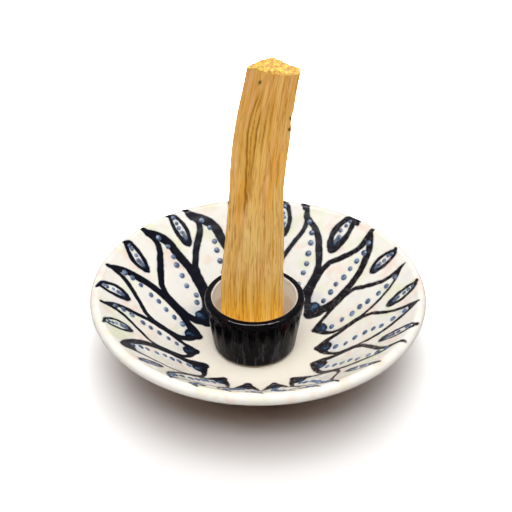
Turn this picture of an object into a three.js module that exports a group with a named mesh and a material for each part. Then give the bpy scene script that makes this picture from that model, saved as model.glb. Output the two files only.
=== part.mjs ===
// Palo santo holder: a shallow thrown dish on a foot ring, with a small cup luted to its floor
// and a split stick of palo santo wood standing in the cup.
// Millimetres, +Z up. The origin is the centre of the foot ring, on the table.

import * as THREE from 'three';

// Driving dimensions of the stick
const stickLength = 104.7;
const stickBaseWidth = 21.5;
const stickWaistWidth = 18.2; // above the middle, where the split ran closer to the grain
const stickTopWidth = 16.6;
const stickFront = 4.0; // from the stick's middle to its flat split face
const stickBack = 4.2; // from the stick's middle to its back ridge
const stickTopDepthShare = 0.88; // depth of the section at the top, as a share of the base's
const stickEdgeLeft = 1.3; // thickness of the left edge
const stickEdgeRight = 2.6; // thickness of the right edge
const grooveDepth = 0.25; // shallow grooves that the split leaves along the front face
const stickLean = 6.8; // how far the grain carries the top end to the right
const stickNarrowsFrom = 0.4; // share of the length that keeps the base width
const stickWaistFrom = 0.62; // shares of the length between which the stick has its waist width
const stickWaistTo = 0.75;
const stickOffset = 0.8; // the stick stands this far left of the cup's axis
const topChip = 2.2; // depth of the chip in the front of the broken end
const topChipWidth = 7;
const topChipOffset = 2.5; // how far the chip's middle lies right of the stick's middle
const topRise = 0.5; // rise of the broken end from its middle to its ridge

// Driving dimensions of the cup
const cupHeight = 20.8;
const cupLip = 2.8; // thickness of the rounded rim
const cupFloor = 4;
const cupFootWall = 1.6; // what the base stands wider than the bore's floor
const cupRound = 1.5; // width of the rounding under the wall
const boreClearance = 0.4; // between the stick's corners and the wall at the bore's floor
const boreFlare = 1.8; // how much wider the bore is at the rim than at its floor
const boreRound = 0.8;
const cupOffsetX = -1.2; // the cup was set by hand, slightly off the middle
const cupOffsetY = 1.3;
const seatGap = 0.3; // under the stick's rough lower end

// Driving dimensions of the slip that joins the cup to the dish
const slipThickness = 0.5;
const slipEdge = 0.5; // bevel of the squeezed out edge
const slipProud = 0.7; // how far the slip stands out past the flat of the cup's base

// Driving dimensions of the dish
const rimDiameter = 115;
const dishHeight = 31;
const dishLip = 4;
const dishFloor = 3.2;
const floorMargin = 1.2; // flat floor left around the cup
const dishBend = 7; // width of the curve from the floor into the wall
const undersideOutset = 0.9; // how far the underside's corner lies outside the floor's corner
const footSetback = 2.4; // how far the foot ring lies inside the underside's corner
const footHeight = 2;
const footWidth = 4.2;
const footEdge = 0.4; // bevel on the foot ring's edges

// Fineness of the faces
const dishSides = 72;
const cupSides = 48;
const bendSteps = 6;
const lipSteps = 8;
const stickSteps = 26;
const frontFacets = 10;

// Heights and radii that follow from the driving dimensions
const stickReach = Math.hypot(stickBaseWidth / 2 + stickOffset, Math.max(stickFront, stickBack));
const boreFloorRadius = stickReach + boreClearance;
const cupBaseRadius = boreFloorRadius + cupFootWall;
const dishFloorTop = footHeight + dishFloor;
const cupBottom = dishFloorTop + slipThickness;
const stickBottom = cupBottom + cupFloor + seatGap;
const flatRadius = cupBaseRadius + Math.hypot(cupOffsetX, cupOffsetY) + floorMargin;
const floorCorner = flatRadius + dishBend;
const undersideCorner = floorCorner + undersideOutset;
const footRadius = undersideCorner - footSetback;

const point = (x, y) => new THREE.Vector2(x, y);

// Points along a circle from one angle to another, both ends included.
function arc(centre, radius, from, to, steps) {
  const points = [];
  for (let i = 0; i <= steps; i += 1) {
    const angle = from + ((to - from) * i) / steps;
    points.push(point(centre.x + radius * Math.cos(angle), centre.y + radius * Math.sin(angle)));
  }
  return points;
}

// The slope of the wall line that leaves a corner and touches the lip's circle.
// The outside of the wall touches it from below (side -1) and the inside from above (side +1).
function wallSlope(corner, lip, side) {
  const run = lip.centre.x - corner.x;
  const rise = lip.centre.y - corner.y;
  return Math.atan2(rise, run) + side * Math.asin(lip.radius / Math.hypot(run, rise));
}

// The curve that turns a level floor line into a wall of the given slope.
function bend(corner, width, slope) {
  const radius = width / Math.tan(slope / 2);
  const centre = point(corner.x - width, corner.y + radius);
  return arc(centre, radius, -Math.PI / 2, slope - Math.PI / 2, bendSteps);
}

// Half section of a thrown vessel, from the axis under its floor, round its lip, to the axis on its floor.
function vesselProfile({ base, outer, outerBend, inner, innerBend, lip }) {
  const outerSlope = wallSlope(outer, lip, -1);
  const innerSlope = wallSlope(inner, lip, 1);
  return [
    ...base,
    ...bend(outer, outerBend, outerSlope),
    ...arc(lip.centre, lip.radius, outerSlope - Math.PI / 2, innerSlope + Math.PI / 2, lipSteps),
    ...bend(inner, innerBend, innerSlope).reverse(),
    point(0, inner.y),
  ];
}

// A half section turned about the vertical axis.
function turned(profile, sides) {
  return new THREE.LatheGeometry(profile, sides).rotateX(Math.PI / 2);
}

function dishGeometry() {
  const footInner = footRadius - footWidth;
  const lipRadius = dishLip / 2;
  const base = [
    point(0, footHeight),
    point(footInner, footHeight),
    point(footInner, footEdge),
    point(footInner + footEdge, 0),
    point(footRadius - footEdge, 0),
    point(footRadius, footEdge),
  ];
  return turned(
    vesselProfile({
      base,
      outer: point(undersideCorner, footHeight),
      outerBend: footSetback,
      inner: point(floorCorner, dishFloorTop),
      innerBend: dishBend,
      lip: { centre: point(rimDiameter / 2 - lipRadius, dishHeight - lipRadius), radius: lipRadius },
    }),
    dishSides,
  );
}

function slipGeometry() {
  const topRadius = cupBaseRadius - cupRound + slipProud - slipEdge;
  const profile = [
    point(0, 0),
    point(topRadius + slipEdge, 0),
    point(topRadius, slipThickness),
    point(0, slipThickness),
  ];
  return turned(profile, cupSides);
}

function cupGeometry() {
  const lipRadius = cupLip / 2;
  const lipCentre = point(boreFloorRadius + boreFlare + lipRadius, cupHeight - lipRadius);
  return turned(
    vesselProfile({
      base: [point(0, 0)],
      outer: point(cupBaseRadius, 0),
      outerBend: cupRound,
      inner: point(boreFloorRadius, cupFloor),
      innerBend: boreRound,
      lip: { centre: lipCentre, radius: lipRadius },
    }),
    cupSides,
  );
}

// The facets behind the stick, from right to left: shares of the half width and of the whole depth.
const backFacets = [
  [0.68, 0.44],
  [0.4, 0.66],
  [0.08, 0.97],
  [-0.2, 1],
  [-0.44, 0.74],
  [-0.72, 0.4],
];

// The stick's base section: a grooved split face in front, and facets that rise to a ridge behind.
function stickSection() {
  const half = stickBaseWidth / 2;
  const outline = [point(-half, -stickFront)];
  for (let i = 1; i < frontFacets; i += 1) {
    const groove = grooveDepth * Math.sin(2.4 * i) ** 2;
    outline.push(point(half * ((2 * i) / frontFacets - 1), groove - stickFront));
  }
  outline.push(point(half, -stickFront), point(half, stickEdgeRight - stickFront));
  for (const [across, depth] of backFacets) {
    outline.push(point(half * across, (stickFront + stickBack) * depth - stickFront));
  }
  outline.push(point(-half, stickEdgeLeft - stickFront));
  return new THREE.Shape(outline);
}

// The stick's width at a share of its length: it narrows to its waist, and again to its top.
function stickWidth(share) {
  const toWaist = THREE.MathUtils.smoothstep(share, stickNarrowsFrom, stickWaistFrom);
  const toTop = THREE.MathUtils.smoothstep(share, stickWaistTo, 1);
  const lower = THREE.MathUtils.lerp(stickBaseWidth, stickWaistWidth, toWaist);
  return THREE.MathUtils.lerp(lower, stickTopWidth, toTop);
}

// The section is drawn up the grain, which narrows it and carries it to the right.
// The upper end is broken, with a chip in front and a rise to the ridge.
function stickGeometry() {
  const geometry = new THREE.ExtrudeGeometry(stickSection(), {
    depth: stickLength,
    steps: stickSteps,
    bevelEnabled: false,
  });
  const vertices = geometry.getAttribute('position');
  for (let i = 0; i < vertices.count; i += 1) {
    const share = vertices.getZ(i) / stickLength;
    const x = (vertices.getX(i) * stickWidth(share)) / stickBaseWidth;
    const y = vertices.getY(i) * THREE.MathUtils.lerp(1, stickTopDepthShare, share);
    const fromChip = (x - topChipOffset) / topChipWidth;
    const chip = topChip * Math.exp(-(fromChip ** 2)) * Math.max(0, -y / stickFront);
    const rise = (topRise * y) / stickBack - chip;
    const lift = rise * THREE.MathUtils.smoothstep(share, 1 - 2 / stickSteps, 1);
    vertices.setXYZ(i, x + stickLean * share ** 3, y, vertices.getZ(i) + lift);
  }
  return geometry;
}

function piece(name, geometry, material) {
  const mesh = new THREE.Mesh(geometry, material);
  mesh.name = name;
  return mesh;
}

const creamGlaze = new THREE.MeshStandardMaterial({ color: 0xf4eedd, roughness: 0.18, metalness: 0 });
const slipClay = new THREE.MeshStandardMaterial({ color: 0xcdbb9c, roughness: 0.45, metalness: 0 });
const blackGlaze = new THREE.MeshStandardMaterial({ color: 0x0d0c10, roughness: 0.12, metalness: 0 });
const splitWood = new THREE.MeshStandardMaterial({ color: 0xcf9f56, roughness: 0.75, metalness: 0 });

const holder = new THREE.Group();
holder.add(piece('dish', dishGeometry(), creamGlaze));

const cupSet = new THREE.Group();
cupSet.position.set(cupOffsetX, cupOffsetY, 0);
holder.add(cupSet);

const slip = piece('luting_slip', slipGeometry(), slipClay);
slip.position.z = dishFloorTop;
cupSet.add(slip);

const cup = piece('stick_cup', cupGeometry(), blackGlaze);
cup.position.z = cupBottom;
cupSet.add(cup);

const stick = piece('palo_santo_stick', stickGeometry(), splitWood);
stick.position.set(-stickOffset, 0, stickBottom);
cupSet.add(stick);

export default holder;
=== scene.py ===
# %% [markdown]
# Palo santo holder
#
# A shallow hand-thrown dish with a cream glaze carries a small black cup, and a split stick of palo
# santo wood stands in the cup. The dish is painted with a ring of leaves in dark brush strokes, with
# rows of raised blue dots. The CAD model gives every place and size. This lesson gives each piece
# its surface.

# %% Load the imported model
import math

import bpy
import numpy as np
from mathutils import Matrix, Vector, noise


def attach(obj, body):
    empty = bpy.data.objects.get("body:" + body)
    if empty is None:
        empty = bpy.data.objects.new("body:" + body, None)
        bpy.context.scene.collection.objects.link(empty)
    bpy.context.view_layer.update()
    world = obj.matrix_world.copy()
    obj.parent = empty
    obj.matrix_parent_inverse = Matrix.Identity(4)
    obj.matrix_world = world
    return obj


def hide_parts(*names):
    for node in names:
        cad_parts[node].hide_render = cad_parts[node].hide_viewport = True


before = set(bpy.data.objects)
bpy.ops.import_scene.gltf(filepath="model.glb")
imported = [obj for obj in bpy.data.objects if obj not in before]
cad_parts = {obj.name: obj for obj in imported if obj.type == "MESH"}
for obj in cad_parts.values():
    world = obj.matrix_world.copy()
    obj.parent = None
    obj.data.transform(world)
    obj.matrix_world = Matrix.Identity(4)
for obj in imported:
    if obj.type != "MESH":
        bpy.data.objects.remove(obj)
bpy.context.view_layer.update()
MM = 0.001
scene = bpy.context.scene
scene.view_settings.view_transform = "Standard"

# %% [markdown]
# The camera stands where the photographer stood: about 0.45 m away and looking down at 35 degrees.
# These numbers were fitted to the ellipses of the dish and cup. A long lens keeps the dish's ellipse
# close to that of the photo.

# %% Camera
LENS = 88.05  # focal length in mm
SENSOR_WIDTH = 36.0
CAMERA_PLACE = (-0.00035, -0.34579, 0.28555)
CAMERA_TILT = 55.046  # degrees up from looking straight down
CAMERA_TURN = 0.056

camera_data = bpy.data.cameras.new("photo_camera")
camera_data.lens = LENS
camera_data.sensor_width = SENSOR_WIDTH
camera = bpy.data.objects.new("photo_camera", camera_data)
camera.location = CAMERA_PLACE
camera.rotation_euler = (math.radians(CAMERA_TILT), 0, math.radians(CAMERA_TURN))
scene.collection.objects.link(camera)
scene.camera = camera
print("camera is", round(camera.location.length, 3), "m from the origin")

# %% [markdown]
# Shader nodes are easier to read as sums and products than as a web of links. A Wire is one output
# socket, and an expression on wires adds the Math nodes for it. A Finish is one material, with one
# method that adds any other node.

# %% Wires and finishes


class Wire:
    """An output socket of a finish's nodes, with the operators that add Math nodes behind it."""

    def __init__(self, finish, socket):
        self.finish = finish
        self.socket = socket

    def __add__(self, other):
        return self.finish.maths("ADD", self, other)

    def __sub__(self, other):
        return self.finish.maths("SUBTRACT", self, other)

    def __rsub__(self, other):
        return self.finish.maths("SUBTRACT", other, self)

    def __mul__(self, other):
        return self.finish.maths("MULTIPLY", self, other)

    __radd__ = __add__
    __rmul__ = __mul__


class Finish:
    """One material and the calls that add nodes to it."""

    def __init__(self, name):
        self.material = bpy.data.materials.new(name)
        self.material.use_nodes = True
        self.tree = self.material.node_tree
        self.shader = self.tree.nodes["Principled BSDF"]

    def connect(self, socket, value):
        if isinstance(value, Wire):
            self.tree.links.new(value.socket, socket)
        else:
            socket.default_value = value

    def node(self, kind, settings=None, values=None, output=0):
        """Adds a node: its settings first, then the values or links of its sockets."""
        made = self.tree.nodes.new("ShaderNode" + kind)
        for name, value in (settings or {}).items():
            setattr(made, name, value)
        for name, value in (values or {}).items():
            self.connect(made.inputs[name], value)
        return Wire(self, made.outputs[output])

    def maths(self, operation, *values):
        return self.node("Math", {"operation": operation}, dict(enumerate(values)))

    def mix(self, share, first, second):
        colours = [c if isinstance(c, Wire) else (*c, 1) for c in (first, second)]
        values = {0: share, 6: colours[0], 7: colours[1]}
        return self.node("Mix", {"data_type": "RGBA"}, values, output=2)

    def step(self, value, low, high):
        """0 below low, 1 above high, and a smooth rise between them."""
        values = {"Value": value, "From Min": low, "From Max": high}
        return self.node("MapRange", {"interpolation_type": "SMOOTHSTEP"}, values)

    def attribute(self, name, output="Fac"):
        return self.node("Attribute", {"attribute_name": name}, output=output)

    def place(self):
        return self.node("TexCoord", output="Object")

    def stretched(self, place, scale):
        return self.node("Mapping", values={"Vector": place, "Scale": scale})

    def noise(self, place, scale, detail=2.0, roughness=0.5):
        values = {"Vector": place, "Scale": scale, "Detail": detail, "Roughness": roughness}
        return self.node("TexNoise", values=values)

    def bump(self, height, distance, strength):
        values = {"Height": height, "Distance": distance, "Strength": strength}
        return self.node("Bump", values=values)

    def apply(self, **sockets):
        """Feeds the shader: a name such as Base_Color stands for the socket Base Color."""
        for name, value in sockets.items():
            self.connect(self.shader.inputs[name.replace("_", " ")], value)
        return self.material


# %% [markdown]
# The photo has a white sweep lit from a wide lamp overhead. The floor is a pale diffuse plane that
# takes the dish's shadow. Its colour is lifted for camera rays only, and more so away from the
# shadow, whose middle lies a little in front of the dish. So the background reaches white with no
# extra light on the object, and the shadow stays.

# %% Floor
FLOOR_SIZE = 6.0
FLOOR_COLOUR = 0.6
FLOOR_SEEN = 0.95  # what the camera sees in place of the floor's colour, close to the dish
FLOOR_FAR = 3.0  # and far from it
SHADOW_MIDDLE = (0, -0.035, 0)  # the photo's shadow lies mostly in front
SHADOW_REACH = (0.03, 0.18)  # distances in m between which the floor's seen colour rises

bpy.ops.object.select_all(action="DESELECT")
bpy.ops.mesh.primitive_plane_add(size=FLOOR_SIZE, location=(0, 0, 0))
floor = bpy.context.object
floor.name = "floor"
sweep = Finish("white_sweep")
places = {0: sweep.place(), 1: SHADOW_MIDDLE}
from_middle = sweep.node("VectorMath", {"operation": "DISTANCE"}, places, output="Value")
far = sweep.step(from_middle, *SHADOW_REACH)
seen_colour = sweep.mix(far, (FLOOR_SEEN,) * 3, (FLOOR_FAR,) * 3)
seen = sweep.node("LightPath", output="Is Camera Ray")
colour = sweep.mix(seen, (FLOOR_COLOUR,) * 3, seen_colour)
diffuse = sweep.node("BsdfDiffuse", values={"Color": colour})
output = sweep.tree.nodes["Material Output"]
sweep.tree.links.new(diffuse.socket, output.inputs["Surface"])
floor.data.materials.append(sweep.material)
print("floor:", FLOOR_SIZE, "m")

# %% [markdown]
# The light is soft and comes from above. A broad lamp a little in front casts the shadow, a small
# one lights the rim and the cup from the front, and a wide panel softens both. Each would show as a
# large pale patch in the glazes, so they are left out of reflections. A narrow strip that only
# reflections see draws the glints on the lips. The world adds a weak warm fill, and is pale where
# the camera or a reflection sees it.

# %% Lamps and world
# Each lamp: its name, size in m, power in W, place in m, and the rays that don't see it
LAMPS = [
    ("soft_box", (0.8, 0.65), 5.3, (0.02, -0.26, 0.93), "glossy"),
    ("front_box", (0.5, 0.2), 2.2, (0.0, -0.64, 0.86), "glossy"),
    ("wide_panel", (2.2, 2.2), 14.0, (0.0, -0.1, 1.25), "glossy"),
    ("glint_strip", (0.9, 0.13), 80.0, (0.0, -0.01, 0.95), "diffuse"),
]
FILL_COLOUR = (1.0, 0.74, 0.54, 1)
FILL_STRENGTH = 0.035
SEEN_WORLD = (0.8, 0.8, 0.8, 1)


def add_lamp(name, size, power, place, unseen_by):
    """A rectangular lamp that faces the origin."""
    data = bpy.data.lights.new(name, "AREA")
    data.shape = "RECTANGLE"
    data.size, data.size_y = size
    data.energy = power
    lamp = bpy.data.objects.new(name, data)
    lamp.location = place
    lamp.rotation_euler = (-Vector(place)).to_track_quat("-Z", "Y").to_euler()
    setattr(lamp, "visible_" + unseen_by, False)
    scene.collection.objects.link(lamp)


for lamp_settings in LAMPS:
    add_lamp(*lamp_settings)

world = bpy.data.worlds.new("studio")
scene.world = world
world.use_nodes = True
tree = world.node_tree
fill = tree.nodes["Background"]
fill.inputs["Color"].default_value = FILL_COLOUR
fill.inputs["Strength"].default_value = FILL_STRENGTH
pale = tree.nodes.new("ShaderNodeBackground")
pale.inputs["Color"].default_value = SEEN_WORLD
paths = tree.nodes.new("ShaderNodeLightPath")
shown = paths.outputs["Is Camera Ray"]
for ray in ("Is Glossy Ray", "Is Transmission Ray"):
    either = tree.nodes.new("ShaderNodeMath")
    either.operation = "MAXIMUM"
    tree.links.new(shown, either.inputs[0])
    tree.links.new(paths.outputs[ray], either.inputs[1])
    shown = either.outputs[0]
choice = tree.nodes.new("ShaderNodeMixShader")
tree.links.new(shown, choice.inputs["Fac"])
tree.links.new(fill.outputs[0], choice.inputs[1])
tree.links.new(pale.outputs[0], choice.inputs[2])
tree.links.new(choice.outputs[0], tree.nodes["World Output"].inputs["Surface"])
print("lamps:", ", ".join(lamp_settings[0] for lamp_settings in LAMPS))

# %% [markdown]
# Thrown pots are turned shapes, so each is drawn as half a section and spun about its axis. The
# section is drawn as a potter's rib would cut it: a level floor, a curve, a straight wall and a
# round lip. A Screw modifier could turn it too, but the spin operator leaves a plain mesh, whose
# points can be moved and painted at once.

# %% Sections of thrown ware
WELD = 0.002  # points closer than this are merged, in mm


def arc(centre, radius, start, end, steps):
    """Points along a circle from one angle to another, both ends included."""
    angles = np.linspace(start, end, steps + 1)
    return [(centre[0] + radius * math.cos(a), centre[1] + radius * math.sin(a)) for a in angles]


def wall_slope(corner, lip, radius, side):
    """Slope of the line from a corner that touches the lip's circle, from below (-1) or above (+1)."""
    run, rise = lip[0] - corner[0], lip[1] - corner[1]
    return math.atan2(rise, run) + side * math.asin(radius / math.hypot(run, rise))


def bend(corner, width, slope, steps):
    """The curve that turns a level line into a wall of the given slope."""
    radius = width / math.tan(slope / 2)
    centre = (corner[0] - width, corner[1] + radius)
    return arc(centre, radius, -math.pi / 2, slope - math.pi / 2, steps)


def line(start, end, steps):
    """Points along a straight stretch, without its first point."""
    shares = np.linspace(0, 1, steps + 1)[1:]
    return [tuple(np.add(start, np.subtract(end, start) * share)) for share in shares]


def spun(name, section, turns):
    """Spins a half section, given as (radius, height) in mm, into a closed solid on the Z axis."""
    bpy.ops.object.select_all(action="DESELECT")
    bpy.ops.mesh.primitive_circle_add(vertices=3, radius=MM, location=(0, 0, 0))
    piece = bpy.context.object
    piece.name = piece.data.name = name
    bpy.ops.object.mode_set(mode="EDIT")
    bpy.ops.mesh.select_mode(type="VERT")
    bpy.ops.mesh.select_all(action="SELECT")
    # The circle shrinks to the section's first point, and each extrusion adds the next one.
    bpy.ops.mesh.merge(type="CENTER")
    bpy.ops.transform.translate(value=(section[0][0] * MM, 0, section[0][1] * MM))
    for (r0, z0), (r1, z1) in zip(section, section[1:]):
        move = ((r1 - r0) * MM, 0, (z1 - z0) * MM)
        bpy.ops.mesh.extrude_region_move(TRANSFORM_OT_translate={"value": move})
    bpy.ops.mesh.select_all(action="SELECT")
    bpy.ops.mesh.spin(steps=turns, angle=2 * math.pi, center=(0, 0, 0), axis=(0, 0, 1))
    bpy.ops.mesh.select_all(action="SELECT")
    bpy.ops.mesh.remove_doubles(threshold=WELD * MM)
    bpy.ops.mesh.normals_make_consistent(inside=False)
    bpy.ops.object.mode_set(mode="OBJECT")
    bpy.ops.object.shade_smooth()
    print(name, "has", len(piece.data.vertices), "vertices")
    return piece


def points_of(piece):
    """The piece's vertices in mm, as an array of rows."""
    flat = np.empty(len(piece.data.vertices) * 3)
    piece.data.vertices.foreach_get("co", flat)
    return flat.reshape(-1, 3) / MM


def set_points(piece, points):
    piece.data.vertices.foreach_set("co", (points * MM).ravel())
    piece.data.update()


def paint(piece, name, values):
    """Stores one number for each vertex, which a material reads by name."""
    layer = piece.data.attributes.new(name, "FLOAT", "POINT")
    layer.data.foreach_set("value", np.asarray(values, dtype=np.float32))


# %% [markdown]
# The dish. Its section repeats the CAD's driving sizes in millimetres, with many more points on
# the inside, where the painting needs them: a stroke's edge has to fall within a few tenths of a
# millimetre.

# %% Section of the dish
# Radii and heights in mm
RIM = 57.5
DISH_HEIGHT = 31.0
LIP = 2.0  # radius of the round lip
LIP_CENTRE = (RIM - LIP, DISH_HEIGHT - LIP)
FOOT_HEIGHT = 2.0
FLOOR_TOP = 5.2
FLOOR_CORNER = 24.26  # where the lines of the floor and the wall would meet
FLOOR_BEND = 7.0
UNDER_CORNER = 25.16  # the same on the underside
FOOT_SETBACK = 2.4
FOOT_RADIUS = UNDER_CORNER - FOOT_SETBACK
FOOT_WIDTH = 4.2
FOOT_EDGE = 0.4  # rounding of the foot ring's edges
FOOT_FILLET = 1.2  # rounding inside the foot ring
DISH_TURNS = 600
RING_STEP = 0.45  # spacing of the rings under the painting

inner_slope = wall_slope((FLOOR_CORNER, FLOOR_TOP), LIP_CENTRE, LIP, 1)
outer_slope = wall_slope((UNDER_CORNER, FOOT_HEIGHT), LIP_CENTRE, LIP, -1)
inner_bend = bend((FLOOR_CORNER, FLOOR_TOP), FLOOR_BEND, inner_slope, 20)
outer_bend = bend((UNDER_CORNER, FOOT_HEIGHT), FOOT_SETBACK, outer_slope, 5)
lip_arc = arc(LIP_CENTRE, LIP, outer_slope - math.pi / 2, inner_slope + math.pi / 2, 22)
wall_length = math.dist(inner_bend[-1], lip_arc[-1])
foot_inner = FOOT_RADIUS - FOOT_WIDTH

dish_section = [
    (0.0, FOOT_HEIGHT),
    *line((0.0, FOOT_HEIGHT), (foot_inner - FOOT_FILLET, FOOT_HEIGHT), 4),
    *arc((foot_inner - FOOT_FILLET, FOOT_HEIGHT - FOOT_FILLET), FOOT_FILLET, math.pi / 2, 0, 4)[1:],
    (foot_inner + FOOT_EDGE, 0.0),
    *line((foot_inner + FOOT_EDGE, 0.0), (FOOT_RADIUS - FOOT_EDGE, 0.0), 2),
    *arc((FOOT_RADIUS - FOOT_EDGE, FOOT_EDGE), FOOT_EDGE, -math.pi / 2, 0, 3)[1:],
    *outer_bend[1:],
    *line(outer_bend[-1], lip_arc[0], 10),
    *lip_arc[1:],
    *line(lip_arc[-1], inner_bend[-1], round(wall_length / RING_STEP)),
    *inner_bend[::-1][1:],
    *line(inner_bend[0], (0.0, FLOOR_TOP), 12),
]
wall_angle = round(math.degrees(inner_slope), 1)
print("dish section:", len(dish_section), "points, wall", wall_angle, "degrees")

# %% [markdown]
# A thrown dish is never quite true. Low waves run round the rim and shallow rings are left by the
# fingers on the wall. They are a few hundredths of a millimetre to a tenth, enough to break up a
# reflection, and they all go down or inwards so that the dish stays in the CAD's box.

# %% Dish body
RIM_WAVE = 0.1  # depth of the waves at the rim, in mm
RIM_DRAW = 0.0008  # share of the radius by which they draw it in
THROWING_RING = 0.05  # depth of the finger rings and their spacing, in mm
RING_SPACING = 3.4

dish = spun("glazed_dish", dish_section, DISH_TURNS)
points = points_of(dish)
radii = np.hypot(points[:, 0], points[:, 1])
turns = np.arctan2(points[:, 1], points[:, 0])
lift = np.clip((points[:, 2] - FLOOR_TOP) / (DISH_HEIGHT - FLOOR_TOP), 0, 1)
wave = 0.5 + 0.3 * np.sin(2 * turns + 0.6) + 0.2 * np.sin(3 * turns + 2.1)
rings = 0.5 - 0.5 * np.sin(2 * math.pi * radii / RING_SPACING + turns)
points[:, 2] -= RIM_WAVE * lift**2 * wave + THROWING_RING * rings * np.clip(lift * 4, 0, 1)
points[:, :2] *= (1 - RIM_DRAW * lift * wave)[:, None]
set_points(dish, points)
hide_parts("dish")
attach(dish, "holder")

# %% [markdown]
# The painting is a ring of fifteen leaves, a common folk ornament, drawn afresh here by formula. A
# leaf runs up the wall from the floor to the rim. Its sides swell from the heel to the junctions
# with its neighbours, turn in and run together in a thin neck below the tip. Each was painted
# freehand, so it has its own tip, base, bend and brush weights. Azimuths are in degrees from the
# back, anticlockwise seen from above, and lengths are in millimetres.

# %% Leaves
# Each leaf, anticlockwise from the back: azimuth and radius of its tip, then of its base, azimuth
# of the junction on its right, degrees by which its neck bends back before the tip, the share of
# its length at which its sides meet, and the brush's half width in mm on its left and on its right
LEAVES = [
    (6, 55.0, 2, 22.6, -12, 1.0, 1.0, 0.9, 1.1),
    (30.2, 55.4, 27.5, 22.6, 12.5, 4.0, 0.92, 1.25, 1.75),
    (50, 55.0, 55, 22.6, 38.7, 2.2, 0.95, 1.25, 1.75),
    (76, 54.4, 79, 22.0, 65.3, 0.7, 0.98, 1.0, 1.4),
    (97.4, 53.6, 101, 22.4, 89.7, 0.8, 0.97, 0.8, 0.9),
    (125, 52.0, 124, 22.6, 112.0, 0.0, 1.1, 0.65, 1.4),
    (150, 54.5, 148, 22.6, 139.2, 1.0, 1.0, 0.55, 0.75),
    (171, 54.5, 171.5, 22.6, 161, 1.0, 1.0, 0.5, 0.55),
    (192, 54.5, 194, 22.6, 181, 1.0, 1.0, 0.5, 0.5),
    (207, 55.0, 212.5, 22.6, 201.5, 0.0, 1.0, 0.6, 0.7),
    (238.5, 56.0, 240.5, 22.3, 225, 2.0, 0.9, 0.85, 0.95),
    (262.4, 54.8, 264.5, 21.4, 250, -0.3, 1.0, 0.75, 0.75),
    (286.2, 54.0, 291, 21.6, 275.4, 0.7, 0.96, 0.8, 0.6),
    (310.4, 54.8, 311, 24.8, 299.2, 0.9, 0.97, 1.2, 1.4),
    (340.3, 54.6, 337, 23.0, 322.9, 1.8, 0.9, 0.95, 1.3),
]

print(len(LEAVES), "leaves")

# %% [markdown]
# A place on a leaf is given by two numbers: the share of its length, and the side, from -1 on its
# left to 1 on its right. One function turns them into points on the dish's inside, so strokes,
# fills and dots are all laid along the leaf, and follow it when its row in the table changes.

# %% Form of a leaf
# Where a leaf's sides run: shares of its length, and how far each side lies on its way out from
# the middle (0) to the junction with the next leaf (1)
LENGTHS = (0, 0.05, 0.11, 0.17, 0.23, 0.32, 0.46, 0.55, 0.62, 0.7, 0.78, 0.86, 0.93, 1)
RIGHT_SIDE = (0, 0.32, 0.6, 0.78, 0.9, 0.98, 1, 0.95, 0.87, 0.74, 0.57, 0.38, 0.2, 0)
LEFT_SIDE = (0, 0.42, 0.76, 0.92, 0.98, 1, 0.97, 0.8, 0.52, 0.28, 0.11, 0.03, 0, 0)
BESIDE = 0.7  # how far two strokes at a junction lie apart, in degrees for each mm of half width
NECK_BEND = (0.82, 0.13)  # share of the length at which the neck bends most, and how far it spreads
SWING = (0.1, 0.6)  # shares between which a leaf's middle swings from its base's azimuth to its tip's


def surface_height(radius):
    """Height of the dish's inside at a radius, both in mm."""
    radius = np.asarray(radius, dtype=float)
    flat = FLOOR_CORNER - FLOOR_BEND
    bend_radius = FLOOR_BEND / math.tan(inner_slope / 2)
    curved = np.clip(radius - flat, 0, bend_radius * math.sin(inner_slope))
    floor_part = FLOOR_TOP + bend_radius - np.sqrt(bend_radius**2 - curved**2)
    past = np.clip(radius - flat - bend_radius * math.sin(inner_slope), 0, None)
    lip_part = LIP_CENTRE[1] + np.sqrt(np.clip(LIP**2 - (radius - LIP_CENTRE[0]) ** 2, 0, None))
    wall = floor_part + past * math.tan(inner_slope)
    return np.where(radius > LIP_CENTRE[0] - LIP * math.sin(inner_slope), lip_part, wall)


def on_dish(radius, azimuth):
    """Points on the dish's inside, from radii in mm and azimuths in degrees."""
    angle = np.radians(azimuth)
    return np.stack([-radius * np.sin(angle), radius * np.cos(angle), surface_height(radius)], -1)


def turn(azimuth):
    """An azimuth as a turn between -180 and 180 degrees."""
    return (azimuth + 180) % 360 - 180


def eased(value, low, high):
    """0 below low, 1 above high, and a smooth rise between them."""
    share = np.clip((value - low) / (high - low), 0, 1)
    return share**2 * (3 - 2 * share)


def leaf_sides(number, share):
    """Azimuths of a leaf's left and right side at shares of its length."""
    tip, _, base, _, right, hook, neck, left_weight, right_weight = LEAVES[number]
    left = LEAVES[(number + 1) % len(LEAVES)][4]
    middle = base + (tip - base) * eased(share, *SWING)
    left_reach = turn(left - middle) - BESIDE * left_weight
    right_reach = turn(middle - right) - BESIDE * right_weight
    middle = middle - hook * np.exp(-(((share - NECK_BEND[0]) / NECK_BEND[1]) ** 2))
    left_side = middle + np.interp(share / neck, LENGTHS, LEFT_SIDE) * left_reach
    return left_side, middle - np.interp(share / neck, LENGTHS, RIGHT_SIDE) * right_reach


def leaf_radius(number, share):
    _, tip_radius, _, base_radius = LEAVES[number][:4]
    return base_radius + (tip_radius - base_radius) * share


def leaf_points(number, share, side):
    """Points of a leaf at shares of its length, from its left side (-1) to its right side (1)."""
    left, right = leaf_sides(number, share)
    return on_dish(leaf_radius(number, share), (left * (1 - side) + right * (1 + side)) / 2)


def half_gap(number, share):
    """Half the distance between a leaf's sides, in mm."""
    left, right = leaf_sides(number, share)
    return leaf_radius(number, share) * np.radians(left - right) / 2


print("a leaf is", round(math.dist(*leaf_points(2, np.array([0, 1]), 0))), "mm long")

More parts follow.
